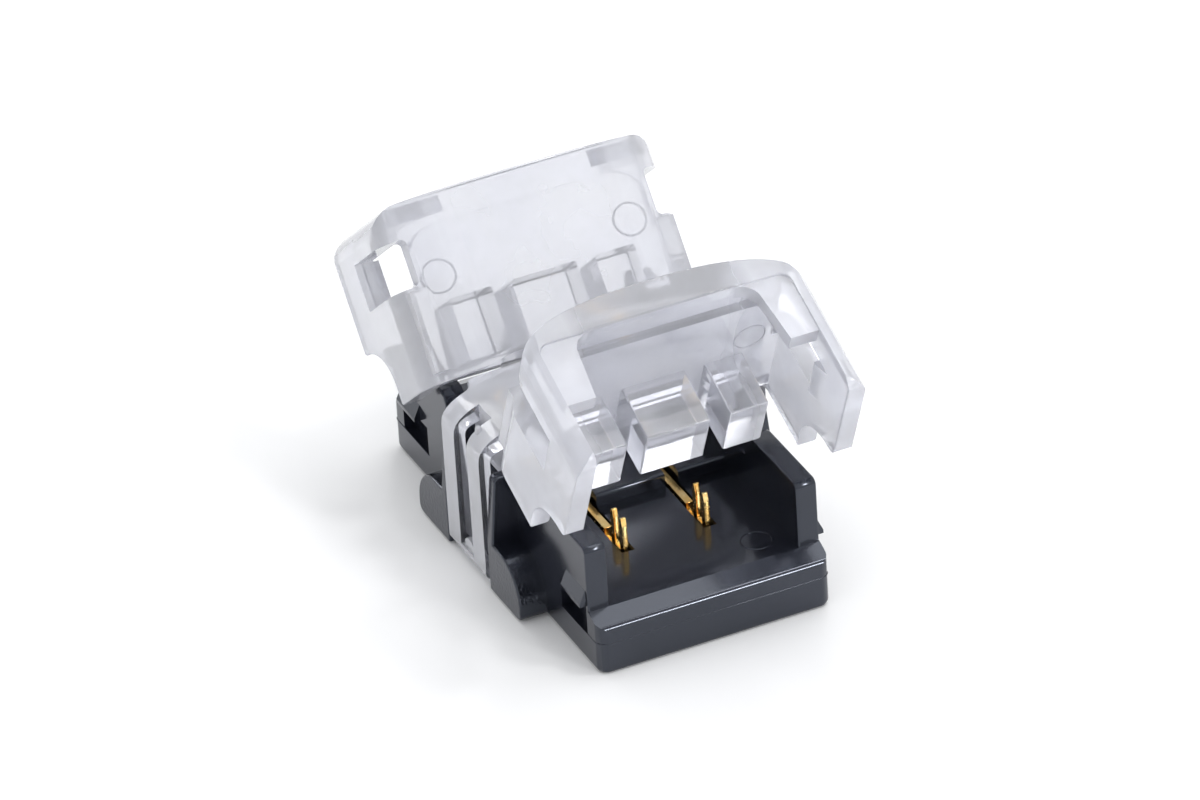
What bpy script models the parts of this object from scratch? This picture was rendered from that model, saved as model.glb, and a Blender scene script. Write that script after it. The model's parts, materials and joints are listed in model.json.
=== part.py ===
"""Two-pin connector for joining LED strip end to end.

A black moulded base holds two stamped contact blades. A clear clip is looped over the middle
of the base, and a clear lid is hinged to it at each end. A closed lid presses its strip down
on the pins with three fingers and catches under the hooks on the base's side walls.

X runs across the strip, Y along it and Z up. The origin is the middle of the base's underside.
The lids stand open, and each one hangs on an empty that lies on its hinge line.
"""

from math import cos, hypot, pi, radians, sin

import bmesh
import bpy
from mathutils import Matrix

MM = 0.001

# Base
BASE_HALF_LENGTH = 12.25 * MM
BASE_HALF_WIDTH = 6.38 * MM
CHANNEL_HALF_WIDTH = 5.19 * MM
FLOOR_HEIGHT = 3.18 * MM
SILL_DEPTH = 1.13 * MM
SILL_DROP = 0.5 * MM
WALL_HEIGHT = 6.85 * MM
WALL_INNER_END = 5.2 * MM
MIDDLE_WALL_HEIGHT = 5.4 * MM
BRIDGE_HALF_LENGTH = 2.72 * MM
BRIDGE_HEIGHT = 3.9 * MM
BASE_EDGE_RADIUS = 0.35 * MM
BASE_CORNER_RADIUS = 0.55 * MM
BASE_FOOT_RADIUS = 0.3 * MM
WALL_END_RADIUS = 0.8 * MM

# Stops beside the clip
LOBE_REACH = 1.5 * MM
LOBE_LENGTH = 3.66 * MM
LOBE_TOP = 3.0 * MM
LOBE_FOOT = 0.08 * MM
LOBE_FOOT_RADIUS = 0.45 * MM
LOBE_ROUND = 2.15 * MM

# Guard ribs that stand on the stops and keep the clip's loops in place
GUARD_THICKNESS = 0.65 * MM
GUARD_TAPER = 0.36 * MM
GUARD_RADIUS = 0.3 * MM

# Hook on each side wall, and the pocket under it
HOOK_START = 8.7 * MM
HOOK_LENGTH = 2.2 * MM
HOOK_REACH = 0.34 * MM
HOOK_UNDERSIDE = 3.42 * MM
HOOK_LIP = 0.2 * MM
HOOK_RAMP = 0.75 * MM
POCKET_START = 7.9 * MM
POCKET_DEPTH = 0.6 * MM
POCKET_FLOOR = 1.77 * MM

# Contacts
CONTACT_OFFSET = 2.27 * MM
BLADE_THICKNESS = 0.42 * MM
BLADE_FOOT = 2.1 * MM
BAR_TOP = 3.24 * MM
BAR_HALF_LENGTH = 4.75 * MM
FORK_SHOULDER = 2.75 * MM
FORK_END = 7.0 * MM
PRONG_THICKNESS = 0.3 * MM
PRONG_WIDTH = 0.38 * MM
PRONG_PLACE = 5.66 * MM
PRONG_SPACING = 1.0 * MM
PRONG_RISE = 1.7 * MM
PRONG_TAPER = 0.5 * MM
PRONG_TIP = 0.12 * MM
SLOT_CLEARANCE = 0.15 * MM

# Hinges
HINGE_PLACE = 3.05 * MM
HINGE_DEPTH = 0.57 * MM
HINGE_CLEARANCE = 0.2 * MM
HINGE_FILM = 0.25 * MM
HINGE_MARK = 5.0 * MM
FRONT_LID_OPENING = radians(66.5)
REAR_LID_OPENING = radians(49.5)

# Domed tops of the clip and the lids
CLIP_TOP = 9.5 * MM
CLIP_DOME_RISE = 2.15 * MM
LID_STEP = 0.06 * MM
LID_DOME_RISE = 3.08 * MM
DOME_POWER = 2.5
DOME_STEPS = 14

# Clip
CLIP_OVERHANG = 0.06 * MM
CLIP_WALL = 0.64 * MM
CLIP_TOP_WALL = 1.25 * MM
CLIP_WAIST = 1.84 * MM
CLIP_BAND_FILLET = 0.5 * MM
CLIP_CLEARANCE = 0.2 * MM
LOOP_HALF_WIDTH = 2.2 * MM
LOOP_HALF_GAP = 0.75 * MM
LOOP_DEPTH = 1.49 * MM
CROSSBAR_FOOT = 0.46 * MM
CROSSBAR_HEIGHT = 0.56 * MM
CROSSBAR_REACH = 1.2 * MM
TONGUE_RADIUS = 0.62 * MM
TONGUE_THICKNESS = 0.4 * MM
FOOT_INSET = 0.13 * MM
FOOT_HALF_LENGTH = 1.9 * MM
SEAT_CLEARANCE = 0.15 * MM

# Catch that holds the clip's crossbar
CATCH_HALF_LENGTH = 0.6 * MM
CATCH_REACH = 0.95 * MM
CATCH_RAMP = 1.9 * MM
CATCH_CLEARANCE = 0.15 * MM

# Lids
LID_INSET = 0.07 * MM
LID_WALL = 1.04 * MM
LID_LENGTH = 9.56 * MM
LID_DEPTH = 9.17 * MM
LID_HEEL_DEPTH = 6.0 * MM
LID_HEEL_LENGTH = 1.1 * MM
LID_TOE_PLACE = 3.45 * MM
LID_TOE_RADIUS = 0.45 * MM
LID_CORNER_RADIUS = 0.8 * MM
LID_END_RADIUS = 1.3 * MM
LID_FILLET = 0.6 * MM
LID_PLATE = 1.88 * MM
PAD_DEPTH = 2.38 * MM
PAD_START = 0.75 * MM
PAD_END = 8.1 * MM
PAD_RADIUS = 1.8 * MM
PAD_INSET = 0.2 * MM
WINDOW_START = 5.25 * MM
WINDOW_END = 7.75 * MM
WINDOW_DEPTH = 1.25 * MM
WINDOW_RADIUS = 0.3 * MM
LATCH_CLEARANCE = 0.06 * MM
LIP_SIDE_CLEARANCE = 0.08 * MM
LIP_REACH = 0.28 * MM
LIP_FACE = 0.2 * MM
LIP_CHAMFER = 0.85 * MM

# Fingers that press the strip on the pins
FINGER_TIP = 5.52 * MM
FINGER_START = 1.05 * MM
FINGER_END = 4.15 * MM
FINGER_DRAFT = 0.12 * MM
MIDDLE_FINGER_HALF_WIDTH = 1.75 * MM
SIDE_FINGER_START = 2.8 * MM
SIDE_FINGER_END = 4.93 * MM

SMALL_ROUND = 0.12 * MM
OVERRUN = 1.0 * MM

# What follows from the sizes above
BASE_TO_WALL_END = BASE_HALF_LENGTH - SILL_DEPTH
SILL_HEIGHT = FLOOR_HEIGHT - SILL_DROP
PRONG_TOP = FLOOR_HEIGHT + PRONG_RISE
CLIP_HALF_WIDTH = BASE_HALF_WIDTH + LOBE_REACH + CLIP_OVERHANG
CLIP_BAND_END = CLIP_HALF_WIDTH - CLIP_WAIST
LOOP_END = CLIP_HALF_WIDTH - LOOP_DEPTH
LID_HALF_WIDTH = CLIP_HALF_WIDTH - LID_INSET
WINDOW_INSIDE = LID_HALF_WIDTH - WINDOW_DEPTH
LID_TOP = CLIP_TOP + LID_STEP
HINGE_HEIGHT = CLIP_TOP - HINGE_DEPTH
CLIP_DOME_FOOT = CLIP_TOP - CLIP_DOME_RISE
BAND_HALF_LENGTH = HINGE_PLACE - HINGE_CLEARANCE
CROSSBAR_TOP = CROSSBAR_FOOT + CROSSBAR_HEIGHT
LIP_TOP = HOOK_UNDERSIDE - LATCH_CLEARANCE
LOBE_START = LOOP_HALF_WIDTH + CLIP_CLEARANCE
ALL_ABOVE = LID_TOP + OVERRUN

AXES = {
    "X": Matrix(((0, 0, 1, 0), (1, 0, 0, 0), (0, 1, 0, 0), (0, 0, 0, 1))),
    "Y": Matrix(((1, 0, 0, 0), (0, 0, -1, 0), (0, 1, 0, 0), (0, 0, 0, 1))),
    "Z": Matrix.Identity(4),
}


def main():
    clear_scene()
    parts = new_collection("strip_connector")
    tools = new_collection("cutters")
    black = make_material("black_moulding", (0.012, 0.012, 0.016), 0.22)
    gold = make_material("gold_plating", (0.83, 0.55, 0.17), 0.25, metallic=1.0)
    clear = make_material("clear_moulding", (0.86, 0.88, 0.92), 0.08, transmission=0.9)
    make_housing(parts, tools, black)
    make_contacts(parts, tools, gold)
    make_clip(parts, tools, clear)
    make_lid("front_lid", -1, FRONT_LID_OPENING, parts, tools, clear)
    make_lid("rear_lid", 1, REAR_LID_OPENING, parts, tools, clear)
    bpy.context.view_layer.update()


def clear_scene():
    for item in list(bpy.data.objects):
        bpy.data.objects.remove(item, do_unlink=True)


def new_collection(name):
    collection = bpy.data.collections.new(name)
    bpy.context.scene.collection.children.link(collection)
    return collection


def make_material(name, color, roughness, metallic=0.0, transmission=0.0):
    material = bpy.data.materials.new(name)
    material.use_nodes = True
    shader = material.node_tree.nodes["Principled BSDF"]
    shader.inputs["Base Color"].default_value = (*color, 1.0)
    shader.inputs["Roughness"].default_value = roughness
    shader.inputs["Metallic"].default_value = metallic
    shader.inputs["Transmission Weight"].default_value = transmission
    return material


# Outlines and solids

def rounded(corners, steps=4):
    """An outline through corners (a, b) or (a, b, radius), with an arc at each radius."""
    points = []
    count = len(corners)
    for i, corner in enumerate(corners):
        a, b = corner[0], corner[1]
        radius = corner[2] if len(corner) > 2 else 0.0
        if radius <= 0.0:
            points.append((a, b))
            continue
        before = unit(corners[i - 1][0] - a, corners[i - 1][1] - b)
        after = unit(corners[(i + 1) % count][0] - a, corners[(i + 1) % count][1] - b)
        middle = unit(before[0] + after[0], before[1] + after[1])
        cosine = before[0] * middle[0] + before[1] * middle[1]
        sine = (1.0 - cosine * cosine) ** 0.5
        center = (a + middle[0] * radius / sine, b + middle[1] * radius / sine)
        reach = radius * cosine / sine
        start = (a + before[0] * reach - center[0], b + before[1] * reach - center[1])
        end = (a + after[0] * reach - center[0], b + after[1] * reach - center[1])
        for k in range(steps + 1):
            share = k / steps
            mixed = unit(start[0] * (1 - share) + end[0] * share, start[1] * (1 - share) + end[1] * share)
            points.append((center[0] + mixed[0] * radius, center[1] + mixed[1] * radius))
    return points


def unit(a, b):
    length = hypot(a, b)
    return a / length, b / length


def dome(half_width, rise, foot, reach_in):
    """The right half of a domed top, from the middle plane out and down to its foot."""
    points = [(-reach_in, foot + rise)]
    for k in range(DOME_STEPS + 1):
        angle = pi / 2 * (1 - k / DOME_STEPS)
        across = half_width * max(cos(angle), 0.0) ** (2 / DOME_POWER)
        up = rise * max(sin(angle), 0.0) ** (2 / DOME_POWER)
        points.append((across, foot + up))
    return points


def prism(name, outline, start, end, axis, collection, edge=0.0):
    """A filled outline, extruded along an axis from start to end.

    Along X the outline is drawn in Y and Z, along Y in X and Z, and along Z in X and Y.
    """
    curve = bpy.data.curves.new(name + "_outline", "CURVE")
    curve.dimensions = "2D"
    curve.fill_mode = "BOTH"
    curve.extrude = (end - start) / 2
    spline = curve.splines.new("POLY")
    spline.points.add(len(outline) - 1)
    for point, (a, b) in zip(spline.points, outline):
        point.co = (a, b, 0.0, 1.0)
    spline.use_cyclic_u = True
    holder = bpy.data.objects.new(name + "_outline", curve)
    bpy.context.scene.collection.objects.link(holder)
    bpy.context.view_layer.update()
    evaluated = holder.evaluated_get(bpy.context.evaluated_depsgraph_get())
    mesh = bpy.data.meshes.new_from_object(evaluated)
    bpy.data.objects.remove(holder)
    bpy.data.curves.remove(curve)
    middle = -(start + end) / 2 if axis == "Y" else (start + end) / 2
    mesh.transform(AXES[axis] @ Matrix.Translation((0.0, 0.0, middle)))
    weld(mesh)
    solid = bpy.data.objects.new(name, mesh)
    collection.objects.link(solid)
    if edge > 0.0:
        soften(solid, edge)
    return solid


def weld(mesh):
    work = bmesh.new()
    work.from_mesh(mesh)
    bmesh.ops.remove_doubles(work, verts=work.verts, dist=0.001 * MM)
    bmesh.ops.dissolve_limit(work, angle_limit=radians(0.1), verts=work.verts, edges=work.edges)
    bmesh.ops.recalc_face_normals(work, faces=work.faces)
    work.to_mesh(mesh)
    work.free()


def block(name, low, high, collection, edge=0.0):
    """A box between two corners."""
    work = bmesh.new()
    bmesh.ops.create_cube(work, size=1.0)
    size = [b - a for a, b in zip(low, high)]
    center = [(a + b) / 2 for a, b in zip(low, high)]
    bmesh.ops.scale(work, vec=size, verts=work.verts)
    bmesh.ops.translate(work, vec=center, verts=work.verts)
    mesh = bpy.data.meshes.new(name)
    work.to_mesh(mesh)
    work.free()
    solid = bpy.data.objects.new(name, mesh)
    collection.objects.link(solid)
    if edge > 0.0:
        soften(solid, edge)
    return solid


def soften(solid, width):
    """Rounds the solid's sharp edges."""
    modifier = solid.modifiers.new("soft_edges", "BEVEL")
    modifier.width = width
    modifier.segments = 2
    modifier.limit_method = "ANGLE"
    modifier.angle_limit = radians(35)


def combine(solid, other, operation):
    """Adds, cuts or keeps what is shared with another solid, which then only shows as wires."""
    modifier = solid.modifiers.new(other.name, "BOOLEAN")
    modifier.operation = operation
    modifier.solver = "EXACT"
    modifier.object = other
    other.hide_render = True
    other.display_type = "WIRE"


def join(solid, others):
    for other in others:
        combine(solid, other, "UNION")


def cut(solid, others):
    for other in others:
        combine(solid, other, "DIFFERENCE")


def mirror(solid, across_x, across_y):
    """Keeps the half at positive X or Y and mirrors it."""
    modifier = solid.modifiers.new("mirror", "MIRROR")
    modifier.use_axis = (across_x, across_y, False)
    modifier.use_bisect_axis = (across_x, across_y, False)
    modifier.bisect_threshold = 0.001 * MM
    modifier.use_mirror_merge = True
    modifier.merge_threshold = 0.001 * MM


# Base

def make_housing(parts, tools, material):
    """The black base: a quarter of it is modelled, and mirrored front to back and side to side."""
    plan = rounded([
        (-OVERRUN, -OVERRUN),
        (BASE_HALF_WIDTH, -OVERRUN),
        (BASE_HALF_WIDTH, BASE_HALF_LENGTH, BASE_CORNER_RADIUS),
        (-OVERRUN, BASE_HALF_LENGTH),
    ])
    housing = prism("housing", plan, 0.0, FLOOR_HEIGHT + OVERRUN, "Z", parts, edge=BASE_FOOT_RADIUS)
    housing.data.materials.append(material)
    combine(housing, make_base_side(tools), "INTERSECT")
    added = [
        make_channel_wall(tools),
        make_middle_wall(tools),
        make_bridge(tools),
        make_lobe(tools),
        make_guard(tools),
        make_hook(tools),
        make_catch(tools),
    ]
    join(housing, added)
    cut(housing, [make_hook_pocket(tools), make_contact_slot(tools)])
    mirror(housing, True, True)


def make_base_side(tools):
    """The base from the side: the floor, and the sill that slopes down at the strip's way in."""
    profile = rounded([
        (-2 * OVERRUN, -OVERRUN),
        (BASE_HALF_LENGTH, -OVERRUN),
        (BASE_HALF_LENGTH, SILL_HEIGHT, BASE_EDGE_RADIUS),
        (BASE_TO_WALL_END, FLOOR_HEIGHT),
        (-2 * OVERRUN, FLOOR_HEIGHT),
    ])
    return prism("base_side", profile, -2 * OVERRUN, BASE_HALF_WIDTH + OVERRUN, "X", tools)


def make_channel_wall(tools):
    profile = rounded([
        (WALL_INNER_END, POCKET_FLOOR),
        (BASE_TO_WALL_END, POCKET_FLOOR),
        (BASE_TO_WALL_END, WALL_HEIGHT, BASE_EDGE_RADIUS),
        (WALL_INNER_END, WALL_HEIGHT, WALL_END_RADIUS),
    ])
    return prism("channel_wall", profile, CHANNEL_HALF_WIDTH, BASE_HALF_WIDTH, "X", tools, edge=SMALL_ROUND)


def make_middle_wall(tools):
    """The lower stretch of wall that the clip's feet stand on."""
    low = (CHANNEL_HALF_WIDTH + 0.03 * MM, -OVERRUN, POCKET_FLOOR)
    high = (BASE_HALF_WIDTH - 0.03 * MM, WALL_INNER_END + WALL_END_RADIUS, MIDDLE_WALL_HEIGHT)
    return block("middle_wall", low, high, tools)


def make_bridge(tools):
    """The raised rib between the two strip channels."""
    profile = rounded([
        (-OVERRUN, POCKET_FLOOR),
        (BRIDGE_HALF_LENGTH, POCKET_FLOOR),
        (BRIDGE_HALF_LENGTH, BRIDGE_HEIGHT, BASE_EDGE_RADIUS / 2),
        (-OVERRUN, BRIDGE_HEIGHT),
    ])
    reach = (CHANNEL_HALF_WIDTH + BASE_HALF_WIDTH) / 2
    return prism("bridge", profile, -OVERRUN, reach, "X", tools)


def make_lobe(tools):
    """The quarter-round stop beside the clip, which the lid's side wall arches over."""
    end = LOBE_START + LOBE_LENGTH
    profile = rounded([
        (LOBE_START, LOBE_FOOT),
        (end, LOBE_FOOT, LOBE_FOOT_RADIUS),
        (end, LOBE_TOP, LOBE_ROUND),
        (LOBE_START, LOBE_TOP),
    ], steps=8)
    root = (CHANNEL_HALF_WIDTH + BASE_HALF_WIDTH) / 2
    return prism("lobe", profile, root, BASE_HALF_WIDTH + LOBE_REACH, "X", tools, edge=SMALL_ROUND)


def make_guard(tools):
    """The upright rib on the stop's inner end, beside the clip's loop."""
    outside = BASE_HALF_WIDTH + LOBE_REACH
    profile = rounded([
        ((CHANNEL_HALF_WIDTH + BASE_HALF_WIDTH) / 2, LOBE_TOP - LOBE_ROUND / 2),
        (outside, LOBE_TOP - LOBE_ROUND / 2),
        (outside, LOBE_TOP),
        (outside - GUARD_TAPER, WALL_HEIGHT, GUARD_RADIUS),
        ((CHANNEL_HALF_WIDTH + BASE_HALF_WIDTH) / 2, WALL_HEIGHT, GUARD_RADIUS),
    ])
    return prism("guard", profile, LOBE_START, LOBE_START + GUARD_THICKNESS, "Y", tools, edge=SMALL_ROUND)


def make_hook(tools):
    """The wedge on the side wall that the lid's lip snaps under."""
    root = BASE_HALF_WIDTH - POCKET_DEPTH / 2
    tip = BASE_HALF_WIDTH + HOOK_REACH
    profile = [
        (root, HOOK_UNDERSIDE),
        (tip, HOOK_UNDERSIDE),
        (tip, HOOK_UNDERSIDE + HOOK_LIP),
        (BASE_HALF_WIDTH, HOOK_UNDERSIDE + HOOK_LIP + HOOK_RAMP),
        (root, HOOK_UNDERSIDE + HOOK_LIP + HOOK_RAMP),
    ]
    return prism("hook", profile, HOOK_START, HOOK_START + HOOK_LENGTH, "Y", tools)


def make_hook_pocket(tools):
    """The pocket under the hook, which takes the lid's lip."""
    low = (BASE_HALF_WIDTH - POCKET_DEPTH, POCKET_START, POCKET_FLOOR)
    high = (BASE_HALF_WIDTH + OVERRUN, HOOK_START + HOOK_LENGTH, HOOK_UNDERSIDE)
    return block("hook_pocket", low, high, tools)


def make_catch(tools):
    """The wedge inside the clip's loop. Its flat underside holds the crossbar down."""
    root = (CHANNEL_HALF_WIDTH + BASE_HALF_WIDTH) / 2
    tip = BASE_HALF_WIDTH + CATCH_REACH
    foot = CROSSBAR_TOP + CATCH_CLEARANCE
    profile = [
        (root, foot),
        (tip, foot),
        (tip, foot + SMALL_ROUND),
        (BASE_HALF_WIDTH, foot + CATCH_RAMP),
        (root, foot + CATCH_RAMP),
    ]
    return prism("catch", profile, -OVERRUN, CATCH_HALF_LENGTH, "Y", tools)


def make_contact_slot(tools):
    """The slot that the contact blade is pressed into, through the floor and the bridge."""
    half_width = BLADE_THICKNESS / 2 + SLOT_CLEARANCE
    low = (CONTACT_OFFSET - half_width, -OVERRUN, BLADE_FOOT - SLOT_CLEARANCE)
    high = (CONTACT_OFFSET + half_width, FORK_END + SLOT_CLEARANCE, BRIDGE_HEIGHT + OVERRUN)
    return block("contact_slot", low, high, tools)


# Contacts

def make_contacts(parts, tools, material):
    """Two stamped blades: a bar on edge, with a fork of two piercing prongs at each end."""
    for name, side in (("contact_left", -1), ("contact_right", 1)):
        blade = prism(name, bar_outline(), -BLADE_THICKNESS / 2, BLADE_THICKNESS / 2, "X", parts)
        blade.data.materials.append(material)
        fork = prism(name + "_fork", fork_outline(), -PRONG_THICKNESS / 2, PRONG_THICKNESS / 2, "X", tools)
        join(blade, [fork])
        mirror(blade, False, True)
        blade.location.x = side * CONTACT_OFFSET
        fork.location.x = side * CONTACT_OFFSET


def bar_outline():
    return [
        (-OVERRUN, BLADE_FOOT),
        (FORK_END, BLADE_FOOT),
        (FORK_END, FORK_SHOULDER),
        (BAR_HALF_LENGTH, FORK_SHOULDER),
        (BAR_HALF_LENGTH, BAR_TOP),
        (-OVERRUN, BAR_TOP),
    ]


def fork_outline():
    root = (BLADE_FOOT + FORK_SHOULDER) / 2
    start = PRONG_PLACE - PRONG_WIDTH / 2
    outline = [(start, root), (start + PRONG_SPACING + PRONG_WIDTH, root)]
    for place in (PRONG_PLACE + PRONG_SPACING, PRONG_PLACE):
        outline += [
            (place + PRONG_WIDTH / 2, PRONG_TOP - PRONG_TAPER),
            (place + PRONG_TIP / 2, PRONG_TOP),
            (place - PRONG_TIP / 2, PRONG_TOP),
            (place - PRONG_WIDTH / 2, PRONG_TOP - PRONG_TAPER),
        ]
        if place > PRONG_PLACE:
            valley = FORK_SHOULDER + PRONG_WIDTH / 2
            outline += [(place - PRONG_WIDTH / 2, valley), (PRONG_PLACE + PRONG_WIDTH / 2, valley)]
    return outline


# Clip

def make_clip(parts, tools, material):
    """The clear saddle: a domed band, and a loop down each side that snaps under a catch."""
    foot = CROSSBAR_FOOT
    inside = CLIP_HALF_WIDTH - CLIP_WALL
    inner = dome(inside, CLIP_DOME_RISE - CLIP_TOP_WALL, CLIP_DOME_FOOT, OVERRUN)
    outline = dome(CLIP_HALF_WIDTH, CLIP_DOME_RISE, CLIP_DOME_FOOT, OVERRUN)
    outline += rounded([
        (CLIP_HALF_WIDTH, CLIP_DOME_FOOT - SMALL_ROUND),
        (CLIP_HALF_WIDTH, foot, BASE_EDGE_RADIUS),
        (CLIP_HALF_WIDTH - CROSSBAR_REACH, foot, SMALL_ROUND),
        (CLIP_HALF_WIDTH - CROSSBAR_REACH, CROSSBAR_TOP),
        (inside, CROSSBAR_TOP),
    ])
    outline += inner[::-1]
    clip = prism("center_clip", outline, -OVERRUN, BAND_HALF_LENGTH, "Y", parts)
    clip.data.materials.append(material)
    cut(clip, [make_clip_waist(tools), make_loop_gap(tools), make_clip_chamfer(tools)])
    join(clip, [make_tongue(tools), make_clip_foot(tools)])
    mirror(clip, True, True)


def make_clip_waist(tools):
    """What is cut away beside the loops, with a fillet where they meet the band."""
    outline = rounded([
        (CLIP_BAND_END, LOOP_HALF_WIDTH, CLIP_BAND_FILLET),
        (CLIP_HALF_WIDTH + OVERRUN, LOOP_HALF_WIDTH),
        (CLIP_HALF_WIDTH + OVERRUN, BAND_HALF_LENGTH + OVERRUN),
        (CLIP_BAND_END, BAND_HALF_LENGTH + OVERRUN),
    ])
    return prism("clip_waist", outline, -OVERRUN, ALL_ABOVE, "Z", tools)


def make_loop_gap(tools):
    low = (LOOP_END, -OVERRUN, CROSSBAR_TOP)
    high = (CLIP_HALF_WIDTH + OVERRUN, LOOP_HALF_GAP, ALL_ABOVE)
    return block("loop_gap", low, high, tools)


def make_clip_chamfer(tools):
    """The groove over the film hinge: the band's top edge slopes down to the film."""
    return hinge_chamfer("clip_chamfer", BAND_HALF_LENGTH, -1, 0.0, tools)


def hinge_chamfer(name, edge, side, drop, tools):
    """A wedge that slopes an edge at 45 degrees down to the film, on one side of the hinge."""
    film_top = HINGE_HEIGHT + HINGE_FILM / 2 - drop
    rise = ALL_ABOVE - drop - film_top
    outline = [
        (edge, film_top),
        (edge + side * rise, film_top + rise),
        (edge - side * OVERRUN, film_top + rise),
        (edge - side * OVERRUN, film_top),
    ]
    reach = CLIP_HALF_WIDTH + OVERRUN
    return prism(name, outline, -reach, reach, "X", tools)


def make_tongue(tools):
    """The half-round tongue that stands on the crossbar."""
    points = []
    for k in range(9):
        angle = pi / 2 * k / 8
        points.append((TONGUE_RADIUS * cos(angle), CROSSBAR_TOP + TONGUE_RADIUS * sin(angle)))
    outline = [(-OVERRUN, CROSSBAR_TOP - CROSSBAR_HEIGHT / 2), (TONGUE_RADIUS, CROSSBAR_TOP - CROSSBAR_HEIGHT / 2)]
    outline += points
    outline.append((-OVERRUN, CROSSBAR_TOP + TONGUE_RADIUS))
    outside = CLIP_HALF_WIDTH - SMALL_ROUND
    return prism("tongue", outline, outside - TONGUE_THICKNESS, outside, "X", tools)


def make_clip_foot(tools):
    """The foot under the band that stands on the base's middle wall."""
    low = (CHANNEL_HALF_WIDTH + FOOT_INSET, -OVERRUN, MIDDLE_WALL_HEIGHT + SEAT_CLEARANCE)
    high = (BASE_HALF_WIDTH - FOOT_INSET, FOOT_HALF_LENGTH, CLIP_TOP - CLIP_TOP_WALL)
    return block("clip_foot", low, high, tools)


# Lids, drawn shut: the origin is on the hinge line, +Y leads to the free end and Z is up

def lid_height(depth):
    """The height of a place that lies this deep below the lid's top."""
    return LID_TOP - depth - HINGE_HEIGHT


def make_lid(name, side, opening, parts, tools, material):
    hinge = bpy.data.objects.new(name + "_hinge", None)
    hinge.empty_display_size = HINGE_MARK
    hinge.location = (0.0, side * HINGE_PLACE, HINGE_HEIGHT)
    hinge.rotation_euler = (opening, 0.0, pi if side < 0 else 0.0)
    parts.objects.link(hinge)
    lid = prism(name, lid_section(), HINGE_CLEARANCE, LID_LENGTH, "Y", parts, edge=SMALL_ROUND)
    lid.data.materials.append(material)
    kept = [
        prism(name + "_side", lid_side(), -2 * OVERRUN, LID_HALF_WIDTH + OVERRUN, "X", tools),
        prism(name + "_plan", lid_plan(), -LID_DEPTH, ALL_ABOVE, "Z", tools),
    ]
    for outline in kept:
        combine(lid, outline, "INTERSECT")
    added = [make_pad(name, tools), make_middle_finger(name, tools), make_side_finger(name, tools)]
    removed = [make_window(name, tools), make_lid_chamfer(name, tools)]
    join(lid, added)
    cut(lid, removed)
    lip = make_lip(name, tools)
    join(lid, [lip])
    mirror(lid, True, False)
    for item in [lid, lip] + kept + added + removed:
        item.parent = hinge


def lid_section():
    """Across the lid: the domed plate and one side wall."""
    foot = lid_height(LID_DEPTH)
    under = lid_height(LID_PLATE)
    inside = LID_HALF_WIDTH - LID_WALL
    outline = dome(LID_HALF_WIDTH, LID_DOME_RISE, lid_height(LID_DOME_RISE), OVERRUN)
    outline += rounded([
        (LID_HALF_WIDTH, foot),
        (inside, foot),
        (inside, under, LID_FILLET),
        (-OVERRUN, under),
    ])
    return outline


def lid_side():
    """The lid's outline from the side: the wall arches over the lobe and ends in a toe."""
    foot = lid_height(LID_DEPTH)
    heel = lid_height(LID_HEEL_DEPTH)
    start = HINGE_CLEARANCE
    arch_start = start + LID_HEEL_LENGTH
    arch_foot = foot + LID_TOE_RADIUS
    outline = [(start, ALL_ABOVE), (start, heel)]
    for k in range(9):
        angle = pi / 2 * k / 8
        along = arch_start + (LID_TOE_PLACE - arch_start) * sin(angle)
        outline.append((along, arch_foot + (heel - arch_foot) * cos(angle)))
    outline += rounded([
        (LID_TOE_PLACE, foot, LID_TOE_RADIUS),
        (LID_LENGTH, foot, LID_CORNER_RADIUS),
        (LID_LENGTH, ALL_ABOVE),
        (LID_TOE_PLACE, ALL_ABOVE),
    ])[1:-1]
    return outline


def lid_plan():
    """The lid's outline from above, with a rounded corner at the free end."""
    return rounded([
        (-2 * OVERRUN, -OVERRUN),
        (LID_HALF_WIDTH + OVERRUN, -OVERRUN),
        (LID_HALF_WIDTH + OVERRUN, LID_LENGTH - LID_END_RADIUS),
        (LID_HALF_WIDTH, LID_LENGTH - LID_END_RADIUS),
        (LID_HALF_WIDTH, LID_LENGTH, LID_END_RADIUS),
        (-2 * OVERRUN, LID_LENGTH),
    ], steps=6)


def make_window(name, tools):
    """The opening through shoulder and wall, above the lip that snaps under the hook."""
    outline = rounded([
        (WINDOW_INSIDE, WINDOW_START, WINDOW_RADIUS),
        (LID_HALF_WIDTH + OVERRUN, WINDOW_START),
        (LID_HALF_WIDTH + OVERRUN, WINDOW_END),
        (WINDOW_INSIDE, WINDOW_END, WINDOW_RADIUS),
    ])
    return prism(name + "_window", outline, LIP_TOP - HINGE_HEIGHT, LID_TOP, "Z", tools)


def make_lip(name, tools):
    root = LID_HALF_WIDTH - LID_WALL / 2
    inside = LID_HALF_WIDTH - LID_WALL
    top = LIP_TOP - HINGE_HEIGHT
    profile = [
        (root, top),
        (inside - LIP_REACH, top),
        (inside - LIP_REACH, top - LIP_FACE),
        (inside, top - LIP_FACE - LIP_CHAMFER),
        (root, top - LIP_FACE - LIP_CHAMFER),
    ]
    start = WINDOW_START + LIP_SIDE_CLEARANCE
    end = WINDOW_END - LIP_SIDE_CLEARANCE
    return prism(name + "_lip", profile, start, end, "Y", tools)


def make_pad(name, tools):
    """The thicker part of the plate: wall to wall under the fingers, with a rounded free end."""
    wall = LID_HALF_WIDTH - LID_WALL / 2
    shoulder = WINDOW_INSIDE - PAD_INSET
    narrowing = WINDOW_START - PAD_INSET
    outline = rounded([
        (-2 * OVERRUN, PAD_START),
        (wall, PAD_START),
        (wall, narrowing),
        (shoulder, narrowing),
        (shoulder, PAD_END, PAD_RADIUS),
        (-2 * OVERRUN, PAD_END),
    ], steps=6)
    return prism(name + "_pad", outline, lid_height(PAD_DEPTH), lid_height(LID_PLATE / 2), "Z", tools)


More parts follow.
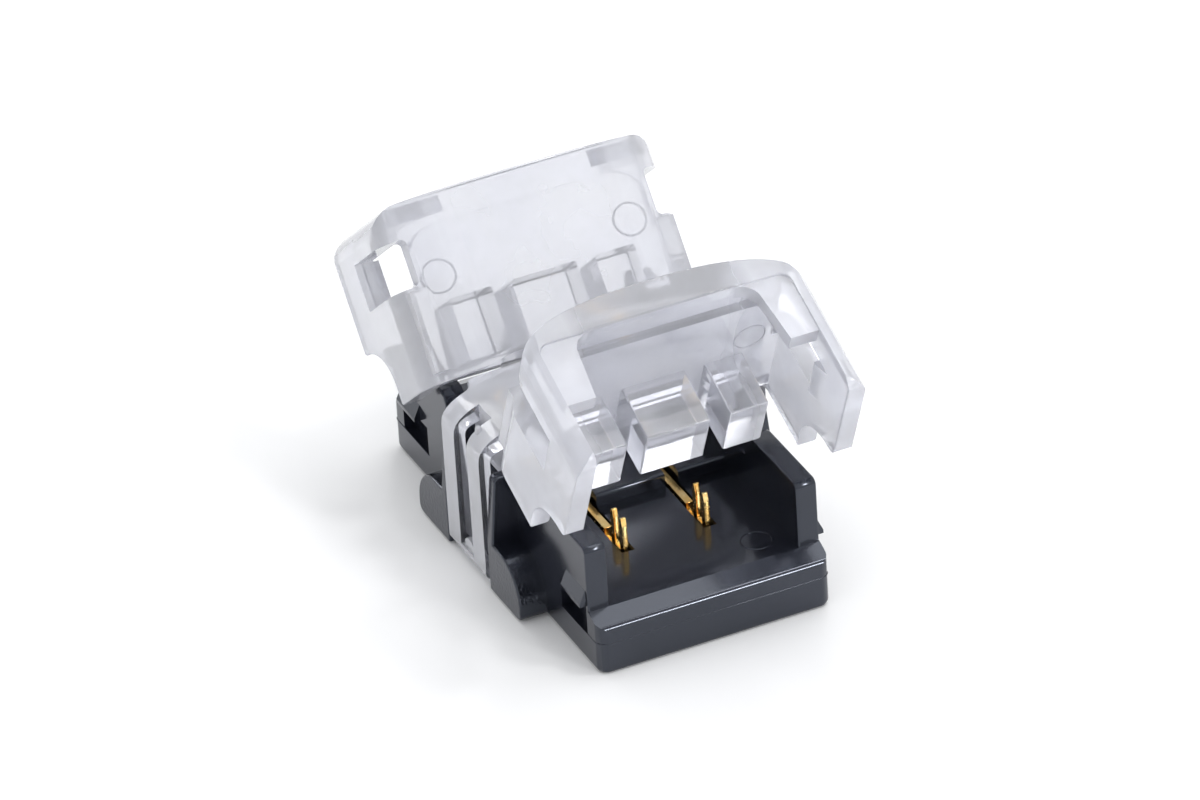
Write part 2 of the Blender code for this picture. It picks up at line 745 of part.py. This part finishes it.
def make_middle_finger(name, tools):
    return make_finger(name + "_middle_finger", -OVERRUN, MIDDLE_FINGER_HALF_WIDTH, tools)


def make_side_finger(name, tools):
    return make_finger(name + "_side_finger", SIDE_FINGER_START, SIDE_FINGER_END, tools)


def make_finger(name, start, end, tools):
    """A finger that presses the strip on the pins, a little thinner at its tip."""
    root = lid_height(LID_PLATE)
    tip = lid_height(FINGER_TIP)
    profile = [
        (FINGER_START - FINGER_DRAFT, root),
        (FINGER_START, tip),
        (FINGER_END, tip),
        (FINGER_END + FINGER_DRAFT, root),
    ]
    return prism(name, profile, start, end, "X", tools, edge=SMALL_ROUND)


def make_lid_chamfer(name, tools):
    return hinge_chamfer(name + "_chamfer", HINGE_CLEARANCE, 1, HINGE_HEIGHT, tools)


main()
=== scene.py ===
"""Dresses the LED strip connector: moulded black base, clear clip and lids, gold contacts."""

import json
from math import cos, pi, radians, sin

import bmesh
import bpy
from mathutils import Matrix, Vector


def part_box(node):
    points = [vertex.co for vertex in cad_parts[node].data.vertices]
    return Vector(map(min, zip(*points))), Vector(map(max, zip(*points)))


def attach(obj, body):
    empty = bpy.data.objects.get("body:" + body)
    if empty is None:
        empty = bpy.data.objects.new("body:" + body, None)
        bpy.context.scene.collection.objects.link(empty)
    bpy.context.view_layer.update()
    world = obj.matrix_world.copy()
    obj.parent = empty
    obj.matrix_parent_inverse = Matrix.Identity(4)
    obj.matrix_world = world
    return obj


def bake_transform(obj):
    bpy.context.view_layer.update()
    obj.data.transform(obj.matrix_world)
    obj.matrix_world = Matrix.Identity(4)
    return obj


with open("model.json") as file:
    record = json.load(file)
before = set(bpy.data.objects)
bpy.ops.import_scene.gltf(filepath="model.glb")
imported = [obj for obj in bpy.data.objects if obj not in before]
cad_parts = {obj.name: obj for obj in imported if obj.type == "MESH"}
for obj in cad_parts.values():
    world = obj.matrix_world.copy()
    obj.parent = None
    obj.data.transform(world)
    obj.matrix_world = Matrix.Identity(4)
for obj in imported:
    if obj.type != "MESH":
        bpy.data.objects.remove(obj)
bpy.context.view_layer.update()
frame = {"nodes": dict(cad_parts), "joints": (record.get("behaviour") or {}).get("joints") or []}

MM = 0.001
NODES = frame["nodes"]


# Camera: the photograph's viewpoint, in millimetres, degrees and pixels

AZIMUTH = radians(-23.449)
ELEVATION = radians(32.535)
ROLL = radians(-3.726)
DISTANCE = 542.09
FOCAL_PIXELS = 10781.8
PICTURE_PIXELS = 1200.0
SENSOR_WIDTH = 36.0
TARGET = Vector((0.0, 0.0, 4.0))
SHIFT_X = 0.352
SHIFT_Z = -2.870

# The lids: each is shut at the low end of its hinge's range, and faces its own end of the base

LID_SIDES = {"front_lid": -1, "rear_lid": 1}
HINGES = {joint["child"]: joint for joint in frame["joints"]}
LID_OPENINGS = {name: radians(-HINGES[name]["range_deg"][0]) for name in LID_SIDES}

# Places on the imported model, in millimetres; a lid's heights are over its hinge, with the lid shut

BASE_HALF_WIDTH = 6.38
BASE_HALF_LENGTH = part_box("housing")[1][1] / MM
BASE_CORNER_RADIUS = 0.55
BASE_FLOOR = 3.18
PLATE_UNDERSIDE = -1.25
PAD_UNDERSIDE = -1.75

# Added pieces, in millimetres

ARC_STEPS = 8
FILM_HALF_WIDTH = 4.1
FILM_HALF_THICKNESS = 0.125
FILM_CLEARANCE = 0.2
FILM_ROOT = 0.06
FILM_STEPS = 12
BLOCK_START = 8.55
BLOCK_END = 9.42
BLOCK_INSIDE = 5.0
BLOCK_FOOT_INSIDE = 5.3
BLOCK_OUTSIDE = 6.83
BLOCK_FOOT = -4.97
BLOCK_FILLET = 1.0
RING_HALF_WIDTH = 0.05
RING_RISE = 0.03
RING_ROOT = 0.02
RING_STEPS = 48
LID_MARK_PLACE = (5.12, 5.5)
LID_MARK_RADIUS = 0.85
FLOOR_MARK_PLACE = (3.65, 9.5)
FLOOR_MARK_RADIUS = 0.8
STUB_PLACE = (-7.3, -0.97)
STUB_RADII_AND_HEIGHTS = ((0.24, 7.55), (0.21, 7.8), (0.17, 8.5), (0.16, 8.66), (0.12, 8.75), (0.05, 8.79))
STUB_STEPS = 20
LINE_HEIGHT = 1.77
LINE_START = 7.9
LINE_RISE = 0.035
LINE_ROOT = 0.02
LINE_HALF_HEIGHT = 0.045

# Rounded edges, in millimetres: facets within the flat turn make one face, and an edge is rounded if it
# turns by more than the least turn, which is lower for the base, so that the sill's inner edge is rounded too

ROUNDINGS = {
    "housing": 0.07,
    "contact_left": 0.03,
    "contact_right": 0.03,
    "center_clip": 0.16,
    "front_lid": 0.2,
    "rear_lid": 0.2,
}
BLOCK_ROUNDING = 0.12
LEAST_TURN = radians(32)
LEAST_TURN_WITH_SILL = radians(23.2)
FLAT_TURN = radians(0.5)
WELD_DISTANCE = 0.001

# Each material's two tones

BLACK_TONES = ((0.006, 0.007, 0.011, 1.0), (0.011, 0.012, 0.018, 1.0))
CLEAR_TONES = ((0.885, 0.893, 0.955), (0.92, 0.925, 0.965))
GOLD_TONES = ((1.0, 0.60, 0.17, 1.0), (1.0, 0.74, 0.32, 1.0))
FLOOR_TONES = ((0.95, 0.95, 0.955, 1.0), (0.96, 0.96, 0.965, 1.0))

# Where the mouldings' surfaces change, as two distances from the middle plane in millimetres

STOP_GRAIN = (6.5, 6.8)
LID_WALLS = (3.9, 5.0)
CLIP_LOOPS = (5.9, 6.2)

# Studio, in metres: each light has a place, a width and a power in watts

LIGHTS = {
    "key": ((0.12, -0.09, 0.26), 0.04, 0.10),
    "front": ((0.106, -0.255, 0.118), 0.04, 0.16),
    "top": ((0.1, 0.04, 0.28), 0.14, 0.11),
    "edge": ((0.1, 0.15, 0.24), 0.03, 0.045),
    "back": ((-0.04, 0.26, 0.16), 0.10, 0.12),
}
LIGHT_TARGET = Vector((0.0, 0.0, 0.006))
WORLD_COLOUR = (0.98, 0.99, 1.0, 1.0)
WORLD_STRENGTH = 0.88
FLOOR_SIZE = 4.0
FLOOR_PLACE = (0.0, 0.0, -0.00002)


def make_camera():
    back = Vector((sin(AZIMUTH) * cos(ELEVATION), -cos(AZIMUTH) * cos(ELEVATION), sin(ELEVATION)))
    level = Vector((cos(AZIMUTH), sin(AZIMUTH), 0.0))
    upright = back.cross(level)
    right = cos(ROLL) * level + sin(ROLL) * upright
    up = cos(ROLL) * upright - sin(ROLL) * level
    eye = (TARGET + back * DISTANCE - right * SHIFT_X - up * SHIFT_Z) * MM
    data = bpy.data.cameras.new("camera")
    data.sensor_width = SENSOR_WIDTH
    data.lens = FOCAL_PIXELS * SENSOR_WIDTH / PICTURE_PIXELS
    data.clip_start = 0.01
    data.clip_end = 10.0
    camera = bpy.data.objects.new("camera", data)
    bpy.context.scene.collection.objects.link(camera)
    turn = Matrix((right, up, back)).transposed()
    camera.matrix_world = Matrix.Translation(eye) @ turn.to_4x4()
    bpy.context.scene.camera = camera


# Materials

def new_material(name):
    material = bpy.data.materials.new(name)
    material.use_nodes = True
    return material, material.node_tree.nodes, material.node_tree.links


def noise_node(nodes, links, place, scale, detail):
    """Noise with about scale waves in a metre of the part."""
    noise = nodes.new("ShaderNodeTexNoise")
    noise.inputs["Scale"].default_value = scale
    noise.inputs["Detail"].default_value = detail
    links.new(place.outputs["Object"], noise.inputs["Vector"])
    return noise.outputs["Fac"]


def spread(nodes, links, noise, low, high):
    """Maps a noise's middle range to low..high."""
    ramp = nodes.new("ShaderNodeMapRange")
    ramp.inputs["From Min"].default_value = 0.3
    ramp.inputs["From Max"].default_value = 0.7
    ramp.inputs["To Min"].default_value = low
    ramp.inputs["To Max"].default_value = high
    links.new(noise, ramp.inputs["Value"])
    return ramp.outputs["Result"]


def rise(nodes, links, vector, axis, start, end):
    """0 to 1 as the size of a vector's part along an axis goes from start to end."""
    parts = nodes.new("ShaderNodeSeparateXYZ")
    links.new(vector, parts.inputs["Vector"])
    size = nodes.new("ShaderNodeMath")
    size.operation = "ABSOLUTE"
    links.new(parts.outputs[axis], size.inputs[0])
    ramp = nodes.new("ShaderNodeMapRange")
    ramp.inputs["From Min"].default_value = start
    ramp.inputs["From Max"].default_value = end
    links.new(size.outputs[0], ramp.inputs["Value"])
    return ramp.outputs["Result"]


def beside_middle(nodes, links, place, change):
    """0 near the part's middle plane, rising to 1 between two distances to either side of it."""
    start, end = change
    return rise(nodes, links, place.outputs["Object"], "X", start * MM, end * MM)


def product(nodes, links, first, second):
    times = nodes.new("ShaderNodeMath")
    times.operation = "MULTIPLY"
    links.new(first, times.inputs[0])
    links.new(second, times.inputs[1])
    return times.outputs[0]


def bump_node(nodes, links, height, strength, distance, below=None):
    """A surface bumped by a height, on top of the bumps that are below it."""
    bump = nodes.new("ShaderNodeBump")
    bump.inputs["Strength"].default_value = strength
    bump.inputs["Distance"].default_value = distance * MM
    links.new(height, bump.inputs["Height"])
    if below:
        links.new(below, bump.inputs["Normal"])
    return bump.outputs["Normal"]


def tones(nodes, links, noise, pair):
    """A colour that drifts between a pair of tones."""
    ramp = nodes.new("ShaderNodeValToRGB")
    first, second = ramp.color_ramp.elements
    first.position = 0.35
    first.color = pair[0]
    second.position = 0.65
    second.color = pair[1]
    links.new(noise, ramp.inputs["Fac"])
    return ramp.outputs["Color"]


def black_plastic():
    """Glossy black moulding: bluish black, a fine grain, and coarser grain on the stops beside the clip."""
    material, nodes, links = new_material("black_plastic")
    shader = nodes["Principled BSDF"]
    place = nodes.new("ShaderNodeTexCoord")
    flow = noise_node(nodes, links, place, 220.0, 3.0)
    fine = noise_node(nodes, links, place, 5200.0, 5.0)
    coarse = noise_node(nodes, links, place, 6500.0, 2.0)
    links.new(tones(nodes, links, flow, BLACK_TONES), shader.inputs["Base Color"])
    links.new(spread(nodes, links, fine, 0.12, 0.17), shader.inputs["Roughness"])
    shader.inputs["Specular IOR Level"].default_value = 0.8
    shader.inputs["Specular Tint"].default_value = (0.8, 0.86, 1.0, 1.0)
    grains = product(nodes, links, coarse, beside_middle(nodes, links, place, STOP_GRAIN))
    surface = bump_node(nodes, links, fine, 0.05, 0.02)
    surface = bump_node(nodes, links, grains, 0.6, 0.03, surface)
    links.new(surface, shader.inputs["Normal"])
    return material


def clear_share(nodes, links, place, flow, middle, sides, flanks):
    """How clear the moulding is: in the middle, at the sides, and on the clip's flanks if it has any.

    The flanks are the faces of the clip's loops that look along the strip.
    """
    across = nodes.new("ShaderNodeMix")
    links.new(beside_middle(nodes, links, place, LID_WALLS), across.inputs["Factor"])
    links.new(spread(nodes, links, flow, middle - 0.04, middle + 0.04), across.inputs["A"])
    links.new(spread(nodes, links, flow, sides - 0.05, sides + 0.05), across.inputs["B"])
    if flanks is None:
        return across.outputs["Result"]
    along = nodes.new("ShaderNodeMix")
    facing = rise(nodes, links, place.outputs["Normal"], "Y", 0.6, 0.9)
    on_flanks = product(nodes, links, facing, beside_middle(nodes, links, place, CLIP_LOOPS))
    links.new(on_flanks, along.inputs["Factor"])
    links.new(across.outputs["Result"], along.inputs["A"])
    along.inputs["B"].default_value = flanks
    return along.outputs["Result"]


def clear_plastic(name, middle, sides, painted_brightness=1.0, flanks=None):
    """Clear moulding with slow waves in its surface and a milky haze; its tones are scaled by a factor that
    paints light or shade into the colour.
    """
    material, nodes, links = new_material(name)
    shader = nodes["Principled BSDF"]
    place = nodes.new("ShaderNodeTexCoord")
    flow = noise_node(nodes, links, place, 260.0, 3.0)
    waves = noise_node(nodes, links, place, 700.0, 2.0)
    fine = noise_node(nodes, links, place, 4200.0, 4.0)
    # Painted light and shade: the tones are scaled lighter or darker to stand in for the light that a lid
    # gets
    painted_tones = [(red * painted_brightness, green * painted_brightness, blue * painted_brightness, 1.0) for red, green, blue in CLEAR_TONES]
    links.new(tones(nodes, links, flow, painted_tones), shader.inputs["Base Color"])
    links.new(spread(nodes, links, fine, 0.07, 0.12), shader.inputs["Roughness"])
    share = clear_share(nodes, links, place, flow, middle, sides, flanks)
    links.new(share, shader.inputs["Transmission Weight"])
    shader.inputs["IOR"].default_value = 1.54
    surface = bump_node(nodes, links, waves, 0.07, 0.08)
    surface = bump_node(nodes, links, fine, 0.05, 0.02, surface)
    links.new(surface, shader.inputs["Normal"])
    return material


def gold():
    """Bright gold plating on stamped metal."""
    material, nodes, links = new_material("gold")
    shader = nodes["Principled BSDF"]
    place = nodes.new("ShaderNodeTexCoord")
    flow = noise_node(nodes, links, place, 1500.0, 3.0)
    fine = noise_node(nodes, links, place, 9000.0, 3.0)
    links.new(tones(nodes, links, flow, GOLD_TONES), shader.inputs["Base Color"])
    links.new(spread(nodes, links, fine, 0.12, 0.28), shader.inputs["Roughness"])
    shader.inputs["Metallic"].default_value = 1.0
    links.new(bump_node(nodes, links, fine, 0.2, 0.01), shader.inputs["Normal"])
    return material


def floor_material():
    material, nodes, links = new_material("floor")
    shader = nodes["Principled BSDF"]
    place = nodes.new("ShaderNodeTexCoord")
    flow = noise_node(nodes, links, place, 60.0, 4.0)
    links.new(tones(nodes, links, flow, FLOOR_TONES), shader.inputs["Base Color"])
    shader.inputs["Roughness"].default_value = 0.75
    return material


# Edges

def soften_node(name, material, least_turn=LEAST_TURN):
    """Merges a solid's facets into faces, rounds its edges and shades it smooth."""
    node = NODES[name]
    node.data.materials.clear()
    node.data.materials.append(material)
    for polygon in node.data.polygons:
        polygon.use_smooth = True
    weld = node.modifiers.new("weld", "WELD")
    weld.merge_threshold = WELD_DISTANCE * MM
    flat = node.modifiers.new("flat", "DECIMATE")
    flat.decimate_type = "DISSOLVE"
    flat.angle_limit = FLAT_TURN
    add_bevel(node, ROUNDINGS[name], least_turn)


def add_bevel(piece, width, least_turn=LEAST_TURN):
    bevel = piece.modifiers.new("bevel", "BEVEL")
    bevel.width = width * MM
    bevel.segments = 3
    bevel.limit_method = "ANGLE"
    bevel.angle_limit = least_turn
    bevel.miter_outer = "MITER_ARC"
    normals = piece.modifiers.new("normals", "WEIGHTED_NORMAL")
    normals.weight = 80


# Added pieces

def new_piece(name, points, faces, material):
    mesh = bpy.data.meshes.new(name)
    mesh.from_pydata([Vector(point) * MM for point in points], [], faces)
    mesh.materials.append(material)
    edit = bmesh.new()
    edit.from_mesh(mesh)
    bmesh.ops.recalc_face_normals(edit, faces=edit.faces)
    edit.to_mesh(mesh)
    edit.free()
    for polygon in mesh.polygons:
        polygon.use_smooth = True
    piece = bpy.data.objects.new(name, mesh)
    bpy.context.scene.collection.objects.link(piece)
    return piece


def sweep(name, stations, material, closed=False):
    """A skin through stations, each a ring of points; open ends are capped."""
    count = len(stations[0])
    points = [point for ring in stations for point in ring]
    faces = []
    last = len(stations) if closed else len(stations) - 1
    for k in range(last):
        here = k * count
        there = (k + 1) % len(stations) * count
        for m in range(count):
            n = (m + 1) % count
            faces.append((here + m, here + n, there + n, there + m))
    if not closed:
        faces.append(tuple(range(count)))
        faces.append(tuple(range(len(points) - count, len(points))))
    return new_piece(name, points, faces, material)


def lid_turn(name, share=1.0):
    """From the lid's own axes (across, along, up) to the model's, at a share of the lid's opening angle."""
    place = Matrix.Translation(Vector(HINGES[name]["pos_m"]) / MM)
    facing = Matrix.Rotation(pi if LID_SIDES[name] < 0 else 0.0, 4, "Z")
    return place @ facing @ Matrix.Rotation(LID_OPENINGS[name] * share, 4, "X")


def make_film(name, material):
    """The thin bending strip that joins a lid to the clip's band."""
    reach = FILM_CLEARANCE + FILM_ROOT
    section = ((-FILM_HALF_WIDTH, -FILM_HALF_THICKNESS), (FILM_HALF_WIDTH, -FILM_HALF_THICKNESS),
               (FILM_HALF_WIDTH, FILM_HALF_THICKNESS), (-FILM_HALF_WIDTH, FILM_HALF_THICKNESS))
    stations = []
    for k in range(FILM_STEPS + 1):
        share = k / FILM_STEPS
        along = reach * (2 * share - 1)
        bend = share * share * (3 - 2 * share)
        turn = lid_turn(name, bend if abs(along) < FILM_CLEARANCE else round(share))
        stations.append([turn @ Vector((across, along, up)) for across, up in section])
    film = sweep(name + "_film", stations, material)
    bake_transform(film)


def make_end_block(name, side, word, material):
    """The block in a corner of the lid's free end, which closes off the end of the base's side wall."""
    outline = []
    for k in range(ARC_STEPS + 1):
        angle = pi / 2 * k / ARC_STEPS
        outline.append((BLOCK_INSIDE - BLOCK_FILLET + BLOCK_FILLET * sin(angle),
                        PLATE_UNDERSIDE - BLOCK_FILLET + BLOCK_FILLET * cos(angle)))
    outline.append((BLOCK_FOOT_INSIDE, BLOCK_FOOT))
    outline.append((BLOCK_OUTSIDE, BLOCK_FOOT))
    outline.append((BLOCK_OUTSIDE, PLATE_UNDERSIDE))
    turn = lid_turn(name)
    stations = []
    for along in (BLOCK_START, BLOCK_END):
        stations.append([turn @ Vector((side * across, along, up)) for across, up in outline])
    block = sweep(f"{name}_end_block_{word}", stations, material)
    add_bevel(block, BLOCK_ROUNDING)
    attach(block, name)


def ring_mark(name, turn, place, radius, facing, material, body):
    """The faint raised circle that an ejector pin leaves on a face that looks up (facing 1) or down (-1)."""
    section = ((-RING_HALF_WIDTH, -RING_ROOT), (-RING_HALF_WIDTH / 2, RING_RISE),
               (RING_HALF_WIDTH / 2, RING_RISE), (RING_HALF_WIDTH, -RING_ROOT))
    stations = []
    for k in range(RING_STEPS):
        angle = 2 * pi * k / RING_STEPS
        ring = []
        for out, up in section:
            across = place[0] + (radius + out) * cos(angle)
            along = place[1] + (radius + out) * sin(angle)
            ring.append(turn @ Vector((across, along, place[2] + facing * up)))
        stations.append(ring)
    mark = sweep(name, stations, material, closed=True)
    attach(mark, body)


def make_marks(clear, black):
    across, along = LID_MARK_PLACE
    for name in LID_SIDES:
        for side, word in ((-1, "left"), (1, "right")):
            ring_mark(f"{name}_mark_{word}", lid_turn(name), (side * across, along, PAD_UNDERSIDE),
                      LID_MARK_RADIUS, -1, clear[name], name)
    across, along = FLOOR_MARK_PLACE
    for turn, word in ((1, "front"), (-1, "rear")):
        ring_mark("floor_mark_" + word, Matrix.Identity(4), (turn * across, -turn * along, BASE_FLOOR),
                  FLOOR_MARK_RADIUS, 1, black, "base")


def make_gate_stub(material):
    """The short peg that the mould's gate leaves on the clip's front left loop."""
    stations = []
    for radius, height in STUB_RADII_AND_HEIGHTS:
        ring = []
        for k in range(STUB_STEPS):
            angle = 2 * pi * k / STUB_STEPS
            ring.append((STUB_PLACE[0] + radius * cos(angle), STUB_PLACE[1] + radius * sin(angle), height))
        stations.append(ring)
    stub = sweep("gate_stub", stations, material)
    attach(stub, "base")


def make_parting_line(end, word, material):
    """The fine line that the mould's halves leave round an end of the base."""
    inner_x = BASE_HALF_WIDTH - BASE_CORNER_RADIUS
    inner_y = BASE_HALF_LENGTH - BASE_CORNER_RADIUS
    path = [(-BASE_HALF_WIDTH, LINE_START, -1.0, 0.0)]
    for first_angle, centre in ((pi, -inner_x), (pi / 2, inner_x)):
        for k in range(ARC_STEPS + 1):
            angle = first_angle - pi / 2 * k / ARC_STEPS
            out_x = cos(angle)
            out_y = sin(angle)
            x = centre + BASE_CORNER_RADIUS * out_x
            y = inner_y + BASE_CORNER_RADIUS * out_y
            path.append((x, y, out_x, out_y))
    path.append((BASE_HALF_WIDTH, LINE_START, 1.0, 0.0))
    section = ((-LINE_ROOT, -LINE_HALF_HEIGHT), (LINE_RISE, 0.0), (-LINE_ROOT, LINE_HALF_HEIGHT))
    stations = []
    for x, y, out_x, out_y in path:
        stations.append([(x + out * out_x, end * (y + out * out_y), LINE_HEIGHT + up) for out, up in section])
    line = sweep(f"parting_line_{word}", stations, material)
    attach(line, "base")


# Stage

def make_stage():
    bpy.context.scene.view_settings.view_transform = "Standard"
    bpy.ops.mesh.primitive_plane_add(size=FLOOR_SIZE, location=FLOOR_PLACE)
    floor = bpy.context.object
    floor.name = "floor"
    floor.data.materials.append(floor_material())
    world = bpy.data.worlds.new("studio")
    world.use_nodes = True
    background = world.node_tree.nodes["Background"]
    background.inputs["Color"].default_value = WORLD_COLOUR
    background.inputs["Strength"].default_value = WORLD_STRENGTH
    bpy.context.scene.world = world
    for name, (place, width, power) in LIGHTS.items():
        add_light(name, Vector(place), width, power)


def add_light(name, place, width, power):
    data = bpy.data.lights.new(name, "AREA")
    data.size = width
    data.energy = power
    light = bpy.data.objects.new(name, data)
    bpy.context.scene.collection.objects.link(light)
    light.location = place
    light.rotation_euler = (LIGHT_TARGET - place).to_track_quat("-Z", "Y").to_euler()


def main():
    make_camera()
    make_stage()
    black = black_plastic()
    # Both lids are one moulding: their materials are lit and shaded copies, the front lid's painted lighter
    # and clearer, the rear lid's painted darker and hazier
    clear = {
        "front_lid": clear_plastic("front_clear_plastic_painted_lighter", 0.79, 0.62, 1.03),
        "rear_lid": clear_plastic("rear_clear_plastic_painted_darker", 0.71, 0.59, 0.91),
    }
    hazy = clear_plastic("hazy_plastic", 0.62, 0.62)
    banded = clear_plastic("clip_plastic", 0.62, 0.62, flanks=0.95)
    metal = gold()
    soften_node("housing", black, LEAST_TURN_WITH_SILL)
    soften_node("center_clip", banded)
    for name in ("contact_left", "contact_right"):
        soften_node(name, metal)
    for name in LID_SIDES:
        soften_node(name, clear[name])
        make_film(name, clear[name])
        make_end_block(name, -1, "left", hazy)
        make_end_block(name, 1, "right", hazy)
    make_marks(clear, black)
    make_gate_stub(hazy)
    make_parting_line(-1, "front", black)
    make_parting_line(1, "rear", black)
    bpy.context.view_layer.update()


main()
